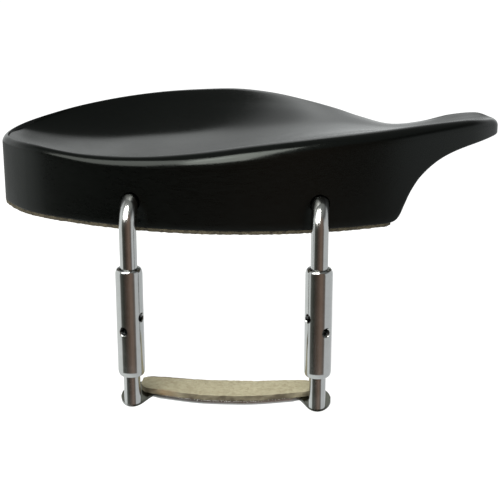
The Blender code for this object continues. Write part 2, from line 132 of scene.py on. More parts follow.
SOFTBOXES = {"softbox": (-7.0, 10.5, 9.5), "softbox_far_end": (-32.5, 15.0, 4.5)}
ROOM = [(-77.0, (0.14, 0.145, 0.13, 0.0)), (-68.0, (0.14, 0.145, 0.13, 1.0)), (-42.0, (0.05, 0.052, 0.042, 1.0)),
        (-20.0, (0.085, 0.064, 0.052, 1.0)), (0.0, (0.15, 0.105, 0.08, 1.0)), (16.0, (0.235, 0.165, 0.13, 1.0)),
        (30.0, (0.235, 0.17, 0.135, 1.0)), (44.0, (0.165, 0.135, 0.115, 1.0)), (51.0, (0.20, 0.17, 0.15, 1.0)),
        (58.0, (0.20, 0.17, 0.15, 0.0))]
BACKDROP = [(-180.0, 2.1), (-176.0, 2.1), (-172.0, 1.5), (-168.0, 1.05), (-163.0, 0.75), (-150.0, 0.6), (-90.0, 0.6),
            (0.0, 0.5), (50.0, 0.12), (120.0, 0.15), (165.0, 0.34), (171.0, 0.62), (177.0, 1.25), (180.0, 2.1)]
SOFTBOX_TILT = 56.5
SOFTBOX_HALF_HEIGHT = 22.5
SOFTBOX_DISTANCE = 0.9
SOFTBOX_COLOUR = (1.0, 0.995, 0.95)
SWEEP_LEFT = (0.92, 0.95, 0.94, 1.0)
SWEEP_RIGHT = (0.70, 0.72, 0.73, 1.0)
CEILING = (0.25, 0.26, 0.25, 1.0)
FLOOR_Z = -49.5
CAMERA_LENS = 95.76
CAMERA_ELEVATION = 18.5
CAMERA_AZIMUTH = 3.5
CAMERA_DISTANCE = 305.0
CAMERA_TARGET = (5.85, -7.8, -3.9)

# ---- fineness of the meshes

SHARP_ANGLE = 32
STATION_SPLIT = 3
ACROSS = 60
SEARCH_STEPS = 1200
RIM_STEPS = 12
WALL_STEPS = 10
EDGE_STEPS = 4
LUG_STEPS = 22
BRACKET_CELLS = 16
BEND_STEPS = 24
ROD_SIDES = 64
BARREL_SIDES = 96


# ---------------------------------------------------------------------------------------------- curves

def smooth(points, x):
    """Value at x of the smooth curve through the (x, value) points, held flat beyond its ends."""
    if x <= points[0][0]:
        return points[0][1]
    if x >= points[-1][0]:
        return points[-1][1]
    i = max(k for k in range(len(points) - 1) if points[k][0] <= x)

    def slope(k):
        low = points[max(k - 1, 0)]
        high = points[min(k + 1, len(points) - 1)]
        return (high[1] - low[1]) / (high[0] - low[0])

    width = points[i + 1][0] - points[i][0]
    t = (x - points[i][0]) / width
    return ((2 * t ** 3 - 3 * t ** 2 + 1) * points[i][1] + (t ** 3 - 2 * t ** 2 + t) * width * slope(i)
            + (3 * t ** 2 - 2 * t ** 3) * points[i + 1][1] + (t ** 3 - t ** 2) * width * slope(i + 1))


def smooth_step(t):
    """0 below t = 0, 1 above t = 1, and a smooth rise between them."""
    t = min(max(t, 0.0), 1.0)
    return t * t * (3 - 2 * t)


def clamp_edge_y(x):
    """Where the clamp edge lies at x."""
    reach = EDGE_RADIUS ** 2 - (x - EDGE_CENTRE_X) ** 2
    return EDGE_FRONT_Y + EDGE_RADIUS - math.sqrt(max(reach, 0.0))


def loop_point(knots, u):
    """Point at knot number u of the closed smooth curve through the knots."""
    count = len(knots)
    i = math.floor(u)
    t = u - i
    a, b, c, d = (knots[(i + k) % count] for k in (-1, 0, 1, 2))
    return (b * 2 + (c - a) * t + (a * 2 - b * 5 + c * 4 - d) * t ** 2 + (b * 3 - a - c * 3 + d) * t ** 3) / 2


def loop_at_x(knots, low, high, x):
    """Point where the curve crosses x between knot numbers low and high."""
    rising = loop_point(knots, high).x > loop_point(knots, low).x
    for _ in range(50):
        middle = (low + high) / 2
        if (loop_point(knots, middle).x < x) == rising:
            low = middle
        else:
            high = middle
    return loop_point(knots, (low + high) / 2)


# ---------------------------------------------------------------------------------------------- meshes

def boundary(grid):
    """The grid's boundary as one closed list: first column, last row, last column, first row."""
    rows = len(grid) - 1
    cols = len(grid[0]) - 1
    return ([grid[i][0] for i in range(rows + 1)] + [grid[rows][j] for j in range(1, cols + 1)]
            + [grid[i][cols] for i in range(rows - 1, -1, -1)] + [grid[0][j] for j in range(cols - 1, 0, -1)])


def skin(top, rings, bottom):
    """Closed mesh of a top grid, rings going down round it, and a bottom grid with the same number of cells."""
    mesh = bmesh.new()
    rows = len(top) - 1
    cols = len(top[0]) - 1

    def make(point):
        return mesh.verts.new(point * MM)

    upper = [[make(p) for p in row] for row in top]
    lower = [[make(p) for p in row] for row in bottom]
    loops = [boundary(upper)] + [[make(p) for p in ring] for ring in rings] + [boundary(lower)]
    for i in range(rows):
        for j in range(cols):
            mesh.faces.new((upper[i][j], upper[i + 1][j], upper[i + 1][j + 1], upper[i][j + 1]))
            mesh.faces.new((lower[i][j + 1], lower[i + 1][j + 1], lower[i + 1][j], lower[i][j]))
    for above, below in zip(loops, loops[1:]):
        for k in range(len(above)):
            n = (k + 1) % len(above)
            mesh.faces.new((above[n], above[k], below[k], below[n]))
    return mesh


def revolve(rows, sides, closed=False, thread=None):
    """Mesh turned about Z from rows of (radius, z), top to bottom down its outer side. A closed profile makes a
    tube; an open one starts and ends on the axis. A thread is (first z, last z, hand)."""
    mesh = bmesh.new()
    rings = []
    for radius, z in rows:
        ring = []
        for k in range(sides):
            angle = math.tau * k / sides
            r = radius
            if thread and thread[1] < z < thread[0]:
                turn = z / THREAD_PITCH + thread[2] * k / sides
                fade = min(1, (thread[0] - z) / THREAD_FADE[0], (z - thread[1]) / THREAD_FADE[1])
                r -= THREAD_DEPTH * (1 - abs(2 * (turn % 1.0) - 1)) * fade
            ring.append(mesh.verts.new(Vector((r * math.cos(angle), r * math.sin(angle), z)) * MM))
        rings.append(ring)
    pairs = list(zip(rings, rings[1:]))
    if closed:
        pairs.append((rings[-1], rings[0]))
    for above, below in pairs:
        for k in range(sides):
            n = (k + 1) % sides
            mesh.faces.new((above[k], below[k], below[n], above[n]))
    if not closed:
        mesh.faces.new(rings[0])
        mesh.faces.new(rings[-1][::-1])
    return mesh


def quarter(centre_r, centre_z, radius_r, radius_z, start, end, steps):
    """Points of an elliptic arc in the (r, z) plane, with angles in degrees from +r towards +z."""
    points = []
    for k in range(steps + 1):
        angle = math.radians(start + (end - start) * k / steps)
        points.append((centre_r + radius_r * math.cos(angle), centre_z + radius_z * math.sin(angle)))
    return points


def piece(name, mesh, sharp=SHARP_ANGLE):
    """A smooth-shaded object made from the bmesh."""
    data = bpy.data.meshes.new(name)
    mesh.to_mesh(data)
    mesh.free()
    data.shade_smooth()
    data.set_sharp_from_angle(angle=math.radians(sharp))
    made = bpy.data.objects.new(name, data)
    bpy.context.scene.collection.objects.link(made)
    return made


def cut(target, cutters):
    """Cut the target with each closed mesh, and keep the result as plain mesh."""
    hidden = []
    for index, mesh in enumerate(cutters):
        cutter = piece("cutter_" + str(index), mesh)
        boolean = target.modifiers.new("cut", 'BOOLEAN')
        boolean.operation = 'DIFFERENCE'
        boolean.solver = 'EXACT'
        boolean.object = cutter
        hidden.append(cutter)
    bpy.context.view_layer.update()
    evaluated = target.evaluated_get(bpy.context.evaluated_depsgraph_get())
    data = bpy.data.meshes.new_from_object(evaluated)
    target.modifiers.clear()
    target.data = data
    data.shade_smooth()
    data.set_sharp_from_angle(angle=math.radians(SHARP_ANGLE))
    for cutter in hidden:
        bpy.data.objects.remove(cutter)
    return target


def moved(mesh, location, rotation=None):
    """The bmesh turned and then moved to the location, given in millimetres."""
    matrix = Matrix.Translation(Vector(location) * MM)
    if rotation is not None:
        matrix = matrix @ rotation
    bmesh.ops.transform(mesh, matrix=matrix, verts=mesh.verts)
    return mesh


# ---------------------------------------------------------------------------------------------- the plate

def fine_stations():
    """The x values of the plate's grid."""
    fine = []
    for low, high in zip(COARSE_STATIONS, COARSE_STATIONS[1:]):
        fine += [low + (high - low) * k / STATION_SPLIT for k in range(STATION_SPLIT)]
    return fine + [COARSE_STATIONS[-1]]


STATIONS = fine_stations()
SHARES = [0.3 * j / ACROSS + 0.35 * (1 - math.cos(math.pi * j / ACROSS)) for j in range(ACROSS + 1)]


def outline_knots():
    """The crest's knots, and the numbers of the clamp edge's last one and the back edge's first and last."""
    clamp = [Vector((x, clamp_edge_y(x), z)) for x, z in CLAMP_EDGE_CREST]
    knots = clamp + [Vector(p) for p in TIP_CREST + BACK_CREST + LEFT_CREST]
    clamp_end = len(clamp) - 1
    back_start = clamp_end + len(TIP_CREST) + 1
    return knots, (clamp_end, back_start, back_start + len(BACK_CREST) - 1)


def outer_loop():
    """The plate's outline at crest height: clamp edge, tip, back edge and left end, as one closed list."""
    knots, (clamp_end, back_start, back_end) = outline_knots()
    front = [loop_at_x(knots, -1.0, clamp_end + 1.0, x) for x in STATIONS]
    back = [loop_at_x(knots, back_start - 1.0, back_end + 1.0, x) for x in STATIONS]

    def between(first, last, low, high):
        fine = [loop_point(knots, low + (high - low) * k / SEARCH_STEPS) for k in range(SEARCH_STEPS + 1)]
        start = min(range(SEARCH_STEPS + 1), key=lambda k: (fine[k] - first).length)
        end = min(range(SEARCH_STEPS + 1), key=lambda k: (fine[k] - last).length)
        return [fine[round(start + (end - start) * share)] for share in SHARES[1:-1]]

    tip = between(front[-1], back[-1], clamp_end - 1.0, back_start + 1.0)
    left = between(back[0], front[0], back_end - 1.0, len(knots) + 1.0)
    return front + tip + back[::-1] + left


def inset(loop, distances):
    """The loop moved inwards, seen from above, by a distance for each point."""
    result = []
    for k, point in enumerate(loop):
        along = loop[(k + 1) % len(loop)] - loop[k - 1]
        inward = Vector((-along.y, along.x, 0)).normalized()
        result.append(point + inward * distances[k])
    return result


def rim_radius(point):
    """Radius of the crest's rounding: wide along the clamp edge, narrow along the back."""
    share = smooth_step((point.y - clamp_edge_y(point.x)) / RIM_BLEND)
    return smooth(FRONT_RIM_RADIUS, point.x) * (1 - share) + BACK_RIM_RADIUS * share


def patch(loop):
    """Coons patch spanned by a closed loop: rows from the left end to the tip, each from front to back."""
    rows = len(STATIONS) - 1
    front = loop[:rows + 1]
    tip = loop[rows:rows + ACROSS + 1]
    back = loop[rows + ACROSS:2 * rows + ACROSS + 1][::-1]
    left = (loop[2 * rows + ACROSS:] + [loop[0]])[::-1]
    grid = []
    for i in range(rows + 1):
        s = i / rows
        row = []
        for j, t in enumerate(SHARES):
            corners = ((front[0] * (1 - s) + front[-1] * s) * (1 - t) + (back[0] * (1 - s) + back[-1] * s) * t)
            row.append(front[i] * (1 - t) + back[i] * t + left[j] * (1 - s) + tip[j] * s - corners)
        grid.append(row)
    return grid


def underside_z(point):
    """Height of the plate's underside: flat foot, hollow behind it, and the hollow side of the wing."""
    behind_foot = point.y - clamp_edge_y(point.x) - FOOT_DEPTH
    hollow = WOOD_FOOT_Z + RELIEF_HEIGHT * smooth_step(behind_foot / RELIEF_RUN)
    return max(hollow, smooth(WING_UNDERSIDE, point.x))


def plate_rings(outline):
    """Closed rings from the crest over the rim, down the wall and round the bottom edge."""
    rings = []
    radii = [rim_radius(p) for p in outline]
    for step in range(RIM_STEPS + 1):
        angle = math.radians(90 * step / RIM_STEPS)
        ring = inset(outline, [r * (1 - math.sin(angle)) for r in radii])
        rings.append([p - Vector((0, 0, r * (1 - math.cos(angle)))) for p, r in zip(ring, radii)])
    wall_top = rings[-1]
    wall_foot = [Vector((p.x, p.y, underside_z(p) + EDGE_ROUND)) for p in outline]
    for step in range(1, WALL_STEPS + 1):
        rings.append([a.lerp(b, step / WALL_STEPS) for a, b in zip(wall_top, wall_foot)])
    for step in range(1, EDGE_STEPS + 1):
        angle = math.radians(90 * step / EDGE_STEPS)
        ring = inset(outline, [EDGE_ROUND * (1 - math.cos(angle))] * len(outline))
        rings.append([Vector((p.x, p.y, underside_z(q) + EDGE_ROUND * (1 - math.sin(angle))))
                      for p, q in zip(ring, outline)])
    return rings


def make_plate():
    """The carved plate: crest, dish and underside in one skin, with two blind holes for the hooks."""
    rings = plate_rings(outer_loop())
    top = patch(rings[0])
    for row in top:
        for share, point in zip(SHARES, row):
            point.z -= smooth(DISH, point.x) * smooth(DISH_SECTION, share)
    bottom = patch(rings[-1])
    for row in bottom:
        for point in row:
            point.z = underside_z(point)
    plate = piece("carved_plate", skin(top, rings[1:-1], bottom))
    towards_back = Matrix.Rotation(math.radians(-90), 4, 'X')
    holes = []
    for x in (-POST_X, POST_X):
        mouth = clamp_edge_y(x)
        depth = HOOK_HOLE_END_Y - mouth
        drill = [(HOOK_HOLE_RADIUS, depth), (HOOK_HOLE_RADIUS, 0.3), (HOOK_HOLE_RADIUS + 0.06, 0.12),
                 (HOOK_HOLE_RADIUS + 0.2, 0.0), (HOOK_HOLE_RADIUS + 0.3, -3.0)]
        holes.append(moved(revolve(drill, 48), (x, mouth, HOOK_Z), towards_back))
    return cut(plate, holes)


# ---------------------------------------------------------------------------------------------- cork and metal

def rough(grid_or_ring, amount, scale, seed):
    """The points shaken by smooth noise."""
    shift = Vector((seed * 13.7, seed * 5.1, seed * 9.3))
    for point in grid_or_ring:
        point += noise.noise_vector(point * scale + shift) * amount
        point += noise.noise_vector(point * scale * 2.7 + shift) * amount * 0.5


def slab(name, columns, cells, layers, ragged, seed):
    """A sheet of cork: columns of (x, front y, back y, top z, bottom z), with torn edges."""
    top = [[Vector((x, front + (back - front) * j / cells, high)) for j in range(cells + 1)]
           for x, front, back, high, low in columns]
    bottom = [[Vector((x, front + (back - front) * j / cells, low)) for j in range(cells + 1)]
              for x, front, back, high, low in columns]
    above = boundary(top)
    below = boundary(bottom)
    rings = [[a.lerp(b, (k + 1) / (layers + 1)) for a, b in zip(above, below)] for k in range(layers)]
    for ring in rings:
        rough(ring, ragged, 1.1, seed)
    for grid in (top, bottom):
        rough(boundary(grid), ragged, 1.1, seed)
        for row in grid[1:-1]:
            rough(row[1:-1], 0.03, 1.6, seed)
    return piece(name, skin(top, rings, bottom), sharp=60)


def spread(points, step):
    """More points between the given ones, no further apart than the step."""
    fine = []
    for low, high in zip(points, points[1:]):
        count = max(1, math.ceil((high - low) / step))
        fine += [low + (high - low) * k / count for k in range(count)]
    return fine + [points[-1]]


def make_plate_cork():
    """The cork strip under the plate's foot, from the left end to the wing's corner."""
    knots, marks = outline_knots()
    leftmost = len(knots) - 2
    columns = []
    for x in spread([-56.2, -55.9, -55.6, -55.0, -54.0, CORK_END_X - CORK_CORNER, CORK_END_X], 0.4):
        front = loop_at_x(knots, leftmost, len(knots) + marks[0], x).y
        back = loop_at_x(knots, marks[1] - 1.0, leftmost, x).y
        corner = smooth_step((x - CORK_END_X + CORK_CORNER) / CORK_CORNER)
        columns.append((x, front + 0.12 + corner, min(clamp_edge_y(x) + FOOT_DEPTH, back) - 0.2 - corner,
                        WOOD_FOOT_Z + 0.06, 0.0))
    return slab("cork_strip", columns, 24, 4, 0.11, 3)


def bracket_top(x):
    """Height of the bracket's top face, which bows down between its two ends."""
    run = (abs(x) - BRACKET_HALF_LAND) / (BOW_HALF_LENGTH - BRACKET_HALF_LAND)
    return BRACKET_TOP_Z - BRACKET_BOW * (1 - smooth_step(run))


def bracket_front(x):
    """Where the bracket's front edge lies: it has the plate's curve, centred on the bracket."""
    return clamp_edge_y(x + EDGE_CENTRE_X)


def make_bracket_cork():
    """The cork pad on the bracket, with rounded ends."""
    columns = []
    ends = [PAD_HALF_LENGTH - PAD_CORNER * (1 - math.sin(math.pi / 2 * k / 8)) for k in range(8)]
    for x in [-e for e in ends[::-1]] + spread([-ends[0], ends[0]], 0.4)[1:-1] + ends + [PAD_HALF_LENGTH - 0.01]:
        beyond = max(abs(x) - PAD_HALF_LENGTH + PAD_CORNER, 0.0) / PAD_CORNER
        corner = PAD_CORNER * (1 - math.sqrt(1 - beyond ** 2))
        columns.append((x, bracket_front(x) + PAD_SETBACK + corner, BRACKET_BACK_Y - PAD_SETBACK - corner * 0.5,
                        bracket_top(x) + GAP + PAD_THICKNESS, bracket_top(x) - 0.05))
    return slab("cork_pad", columns, 20, 3, 0.07, 8)


def make_bracket():
    """Stamped plate with rolled edges and a rounded lug at each front corner."""
    front = [(x, bracket_front(x)) for x in (0.0, 4.0, 9.0, 14.0, 16.0)] + LUG_FRONT
    half = (spread([0.0, LUG_START_X], 0.8)
            + [LUG_START_X + LUG_LENGTH * math.sin(math.pi / 2 * k / LUG_STEPS) for k in range(1, LUG_STEPS + 1)])
    columns = []
    for x in [-x for x in half[:0:-1]] + half:
        columns.append((x, smooth(front, abs(x)), smooth(LUG_BACK, abs(x)), bracket_top(x)))
    top = [[Vector((x, low + (high - low) * j / BRACKET_CELLS, z)) for j in range(BRACKET_CELLS + 1)]
           for x, low, high, z in columns]
    bottom = [[p - Vector((0, 0, BRACKET_THICKNESS)) for p in row] for row in top]
    for row in top:
        ear = smooth_step((abs(row[0].x) - EAR_START_X) / EAR_BLEND)
        for point in row:
            point.z -= ear * EAR_SLOPE * max(EAR_START_Y - point.y, 0.0)
    bracket = piece("bracket_stamping", skin(top, [], bottom))
    bevel = bracket.modifiers.new("rolled_edges", 'BEVEL')
    bevel.width = ROLLED_EDGE * MM
    bevel.segments = 4
    bevel.limit_method = 'ANGLE'
    bevel.angle_limit = math.radians(50)
    holes = []
    for x in (-POST_X, POST_X):
        drill = [(LUG_HOLE_RADIUS, 3.0), (LUG_HOLE_RADIUS, -3.0)]
        holes.append(moved(revolve(drill, 40), (x, POST_Y, BRACKET_TOP_Z - BRACKET_THICKNESS / 2)))
    return cut(bracket, holes)


def make_hook_post(name, x):
    """Round rod: a level leg in the plate, a quarter bend, and a vertical leg down into the barrel."""
    level = HOOK_END_Y - POST_Y - HOOK_BEND_RADIUS
    path = [(Vector((x, HOOK_END_Y - level * k / 18, HOOK_Z)), 0.0) for k in range(18)]
    for step in range(BEND_STEPS + 1):
        angle = math.radians(90 * step / BEND_STEPS)
        path.append((Vector((x, POST_Y + HOOK_BEND_RADIUS * (1 - math.sin(angle)),
                             HOOK_Z - HOOK_BEND_RADIUS * (1 - math.cos(angle)))), angle))
    straight = HOOK_Z - HOOK_BEND_RADIUS - POST_END_Z
    path += [(Vector((x, POST_Y, HOOK_Z - HOOK_BEND_RADIUS - straight * k / 24)), math.pi / 2)
             for k in range(1, 25)]
    mesh = bmesh.new()
    rings = []
    for number, (centre, angle) in enumerate(path):
        radius = ROD_RADIUS - (0.3 if number in (0, len(path) - 1) else 0.0)
        outward = Vector((0, -math.sin(angle), math.cos(angle)))
        ring = []
        for k in range(ROD_SIDES):
            around = math.tau * k / ROD_SIDES
            ring.append(mesh.verts.new((centre + Vector((math.cos(around), 0, 0)) * radius
                                        + outward * math.sin(around) * radius) * MM))
        rings.append(ring)
    for above, below in zip(rings, rings[1:]):
        for k in range(ROD_SIDES):
            n = (k + 1) % ROD_SIDES
            mesh.faces.new((above[k], above[n], below[n], below[k]))
    mesh.faces.new(rings[0][::-1])
    mesh.faces.new(rings[-1])
    bmesh.ops.recalc_face_normals(mesh, faces=mesh.faces)
    return piece(name, mesh)


def make_barrel(name, x, z, turn):
    """Barrel nut: a tube with rounded shoulders, eased bores and two cross holes at right angles."""
    half = BARREL_LENGTH / 2
    shoulder = quarter(BARREL_RADIUS - SHOULDER_RADIAL, half - SHOULDER_AXIAL, SHOULDER_RADIAL, SHOULDER_AXIAL,
                       90, 0, 10)
    profile = ([(BORE_RADIUS + 0.12, half)] + shoulder + [(r, -height) for r, height in reversed(shoulder)]
               + [(BORE_RADIUS + 0.12, -half), (BORE_RADIUS, -half + 0.2), (BORE_RADIUS, half - 0.2)])
    barrel = piece(name, moved(revolve(profile, BARREL_SIDES, closed=True), (x, POST_Y, z)))
    holes = []
    for offset, extra in ((KEY_HOLE_OFFSET, 0), (-KEY_HOLE_OFFSET, 90)):
        across = Matrix.Rotation(math.radians(turn + extra), 4, 'Z') @ Matrix.Rotation(math.radians(90), 4, 'Y')
        half_drill = [(KEY_HOLE_RADIUS + 0.3, 3.6), (KEY_HOLE_RADIUS + 0.15, 3.05), (KEY_HOLE_RADIUS, 2.9)]
        drill = half_drill + [(r, -height) for r, height in reversed(half_drill)]
        holes.append(moved(revolve(drill, 32), (x, POST_Y, z + offset), across))
    return cut(barrel, holes)


def make_stud(name, x, hand):
    """Lower rod: threaded where it is inside the barrel, plain below, riveted under the lug."""
    bottom = BRACKET_TOP_Z - BRACKET_THICKNESS
    rows = [(STUD_RADIUS - 0.4, STUD_TOP_Z), (STUD_RADIUS - 0.1, STUD_TOP_Z - 0.3)]
    step = THREAD_PITCH / 8
    rows += [(STUD_RADIUS, STUD_TOP_Z - 0.35 - step * k) for k in range(round(THREAD_ROWS_LENGTH / step))]
    rows += [(STUD_RADIUS, -34.0), (STUD_RADIUS, -37.0), (STUD_RADIUS, BRACKET_TOP_Z - 0.3)]
    rows += [(RIVET_RADIUS, BRACKET_TOP_Z - 0.35), (RIVET_RADIUS, bottom + 0.05), (RIVET_RADIUS - 0.2, bottom - 0.1)]
    mesh = revolve(rows, ROD_SIDES, thread=(STUD_TOP_Z - 0.3, STUD_TOP_Z - 0.3 - THREAD_LENGTH, hand))
    return piece(name, moved(mesh, (x, POST_Y, 0)), sharp=38)


# ---------------------------------------------------------------------------------------------- materials

class Nodes:
    """A node tree with short calls to add nodes and links."""

    def __init__(self, owner):
        owner.use_nodes = True
        self.tree = owner.node_tree
        self.shader = self.tree.nodes.get("Principled BSDF")

    def add(self, kind, settings=None, **inputs):
        node = self.tree.nodes.new(kind)
        for key, value in (settings or {}).items():
            setattr(node, key, value)
        for key, value in inputs.items():
            self.feed(node.inputs[key.replace("_", " ")], value)
        return node

    def feed(self, socket, value):
        if isinstance(value, bpy.types.NodeSocket):
            self.tree.links.new(value, socket)
        else:
            socket.default_value = value

    def maths(self, operation, *values):
        node = self.tree.nodes.new("ShaderNodeMath")
        node.operation = operation
        for socket, value in zip(node.inputs, values):
            self.feed(socket, value)
        return node.outputs[0]

    def ramp(self, factor, stops):
        """Colour and cover sockets of a ramp; a stop's colour has three numbers, or four with its cover."""
        node = self.tree.nodes.new("ShaderNodeValToRGB")
        elements = node.color_ramp.elements
        while len(elements) < len(stops):
            elements.new(0.5)
        for element, (position, colour) in zip(elements, stops):
            element.position = position
            element.color = (*colour, 1.0)[:4]
        self.feed(node.inputs[0], factor)
        return node.outputs

    def span(self, value, low, high, start, end, kind='LINEAR'):
        """The value's run from low to high, taken to the run from start to end and held there beyond it."""
        node = self.add("ShaderNodeMapRange", {"interpolation_type": kind})
        for socket, number in zip(node.inputs, (value, low, high, start, end)):
            self.feed(socket, number)
        return node.outputs[0]

    def mix(self, factor, first, second):
        node = self.add("ShaderNodeMix", {"data_type": 'RGBA'})
        for index, value in ((0, factor), (6, first), (7, second)):
            self.feed(node.inputs[index], value)
        return node.outputs[2]

    def parts(self, kind, output):
        """A vector output of a new input node, as x, y and z sockets."""
        return self.add("ShaderNodeSeparateXYZ", None, Vector=self.add(kind).outputs[output]).outputs

    def place(self):
        return self.parts("ShaderNodeTexCoord", "Object")

    def facing(self):
        return self.parts("ShaderNodeNewGeometry", "Normal")

    def stretched(self, scale):
        """Object coordinates in millimetres, times a scale for each axis."""
        place = self.add("ShaderNodeTexCoord")
        mapping = self.add("ShaderNodeMapping", None, Vector=place.outputs["Object"])
        mapping.inputs["Scale"].default_value = Vector(scale) / MM
        return mapping.outputs[0]

    def noise(self, vector, scale, detail=3.0, rough=0.5):
        node = self.add("ShaderNodeTexNoise", None, Vector=vector, Scale=scale, Detail=detail, Roughness=rough)
        return node.outputs["Fac"]

    def bump(self, height, strength, distance, normal=None):
        node = self.add("ShaderNodeBump", None, Height=height, Strength=strength, Distance=distance * MM)
        if normal is not None:
            self.feed(node.inputs["Normal"], normal)
        return node.outputs[0]


def ebony():
    """Black dyed wood, rubbed to a satin shine, with fine pores along its length and dull end grain."""
    material = bpy.data.materials.new("ebony")
    n = Nodes(material)
    along = n.stretched((0.12, 1.0, 1.0))
    grain = n.noise(along, 2.2, 5.0, 0.6)
    pores = n.noise(n.stretched((0.35, 3.0, 3.0)), 1.6, 2.0, 0.7)
    cloud = n.noise(n.stretched((0.05, 0.09, 0.09)), 1.0, 3.0)
    n.shader.inputs["Specular IOR Level"].default_value = 0.25
    n.shader.inputs["Specular Tint"].default_value = (0.93, 1.0, 0.95, 1)
    colour = n.ramp(grain, [(0.35, (0.0004, 0.0006, 0.0005)), (0.75, (0.0010, 0.0013, 0.0011))])[0]
    n.feed(n.shader.inputs["Base Color"], colour)
    worn = n.span(cloud, 0.3, 0.7, -0.02, 0.03)
    end_grain = n.span(n.place()[0], -51.0 * MM, -43.0 * MM, 0.36, 0.13)
    side = n.maths('MULTIPLY', n.span(n.maths('ABSOLUTE', n.facing()[2]), 0.15, 0.45, 1.0, 0.0), end_grain)
    shine = n.maths('ADD', n.span(grain, 0.3, 0.7, 0.13, 0.18), side)
    n.feed(n.shader.inputs["Roughness"], n.maths('ADD', shine, worn))
    deep = n.span(pores, 0.60, 0.72, 1.0, 0.0)
    normal = n.bump(grain, 0.10, 0.05)
    n.feed(n.shader.inputs["Normal"], n.bump(deep, 0.12, 0.03, normal))
    return material


def chrome(name, dull_bends=False, paint_lug_shade=False):
    """Chromium plate with faint polishing lines and haze; it is dull on a bend, and it can carry painted shade that
    darkens the lugs' upward faces and every lug face right of the left stud.
    """
    material = bpy.data.materials.new(name)
    n = Nodes(material)
    n.shader.inputs["Metallic"].default_value = 1.0
    haze = n.noise(n.stretched((0.4, 0.4, 0.4)), 1.0, 4.0, 0.6)
    lines = n.noise(n.stretched((0.2, 1.5, 1.5) if paint_lug_shade else (6.0, 6.0, 0.25)), 1.0, 2.0)
    bright = n.ramp(haze, [(0.3, (0.50, 0.51, 0.50)), (0.7, (0.55, 0.555, 0.55))])[0]
    rough = n.maths('ADD', n.span(haze, 0.3, 0.7, 0.11, 0.15), n.span(lines, 0.55, 0.75, 0.0, 0.04))
    along, _, height = n.place()
    if paint_lug_shade:
        # painted shade: the lugs' upward faces, and all lug faces right of the left stud, turn olive black
        shaded_faces = n.maths('MAXIMUM', n.span(n.facing()[2], 0.5, 0.9, 0.0, 1.0),
                            n.span(along, -22.5 * MM, -21.0 * MM, 0.0, 0.95))
        lug = n.span(n.maths('ABSOLUTE', along), 16.0 * MM, 18.0 * MM, 0.0, 1.0)
        bright = n.mix(n.maths('MULTIPLY', lug, shaded_faces), bright, LUG_PAINTED_SHADE)
        rough = n.maths('ADD', rough, 0.10)
    if dull_bends:
        rough = n.maths('ADD', rough, n.span(height, -1.0 * MM, 4.0 * MM, 0.0, 0.05))
    n.feed(n.shader.inputs["Base Color"], bright)
    n.feed(n.shader.inputs["Roughness"], rough)
    n.feed(n.shader.inputs["Normal"], n.bump(lines, 0.05, 0.01))
    return material


def cork(name, dark, light, speck, side_and_edge_marks):
    """Sheet cork: pale grains with dark lenticels; with side and edge marks, faces turned away from up darken to a
    dark brown, the back edge darkens towards the left end, and a rust mark lies near the front.
    """
    material = bpy.data.materials.new(name)
    n = Nodes(material)
    place = n.stretched((1.0, 1.0, 1.0))
    cells = n.add("ShaderNodeTexVoronoi", None, Vector=place, Scale=1.25)
    tone = n.add("ShaderNodeSeparateColor", None, Color=cells.outputs["Color"]).outputs[0]
    fine = n.noise(place, 3.0, 4.0, 0.65)
    wide = n.noise(place, 0.16, 2.0)
    mixed = n.maths('ADD', n.maths('MULTIPLY', tone, 0.35), n.maths('MULTIPLY', fine, 0.65))
    base = n.ramp(n.maths('ADD', mixed, n.span(wide, 0.3, 0.7, -0.10, 0.10)), [(0.15, dark), (0.75, light)])[0]
    flecks = n.span(n.noise(n.stretched((1.0, 1.6, 3.0)), 0.9, 3.0, 0.7), 0.60, 0.70, 0.0, 1.0)
    colour = n.mix(flecks, base, (*speck, 1.0))
    if side_and_edge_marks:
        # faces turned away from up, the cut sides among them, darken towards a dark brown
        edge = n.maths('ADD', n.facing()[2], n.span(wide, 0.3, 0.7, -0.15, 0.15))
        along, back, _ = n.place()
        rusty = n.maths('MULTIPLY', n.span(n.maths('ABSOLUTE', n.maths('ADD', along, 15.0 * MM)),
                                           0.5 * MM, 4.0 * MM, 1.0, 0.0),
                        n.span(n.maths('ADD', back, n.span(fine, 0.3, 0.7, -0.4 * MM, 0.4 * MM)),
                               -6.4 * MM, -7.6 * MM, 0.0, 0.65))
        # the back edge darkens from x = -5 mm towards the left end
        darker_back = n.maths('MULTIPLY', n.span(along, -12.0 * MM, -5.0 * MM, 1.0, 0.0),
                        n.span(back, -0.2 * MM, 0.25 * MM, 0.0, 0.9))
        for amount, tint in ((n.span(edge, -0.15, 0.45, 0.85, 0.0), CORK_SIDE_BROWN), (rusty, RUST), (darker_back, BACK_EDGE_BROWN)):
            colour = n.mix(amount, colour, tint)
    n.feed(n.shader.inputs["Base Color"], colour)
    n.feed(n.shader.inputs["Roughness"], n.span(fine, 0.2, 0.8, 0.82, 0.98))
    height = n.maths('ADD', n.maths('MULTIPLY', cells.outputs["Distance"], -0.6), fine)
    n.feed(n.shader.inputs["Normal"], n.bump(height, 0.5, 0.25))
    return material


def paint(target, material):
    """Give the piece its material."""
    target.data.materials.clear()
    target.data.materials.append(material)


# ---------------------------------------------------------------------------------------------- the studio

def sine(degrees):
    return math.sin(math.radians(degrees))


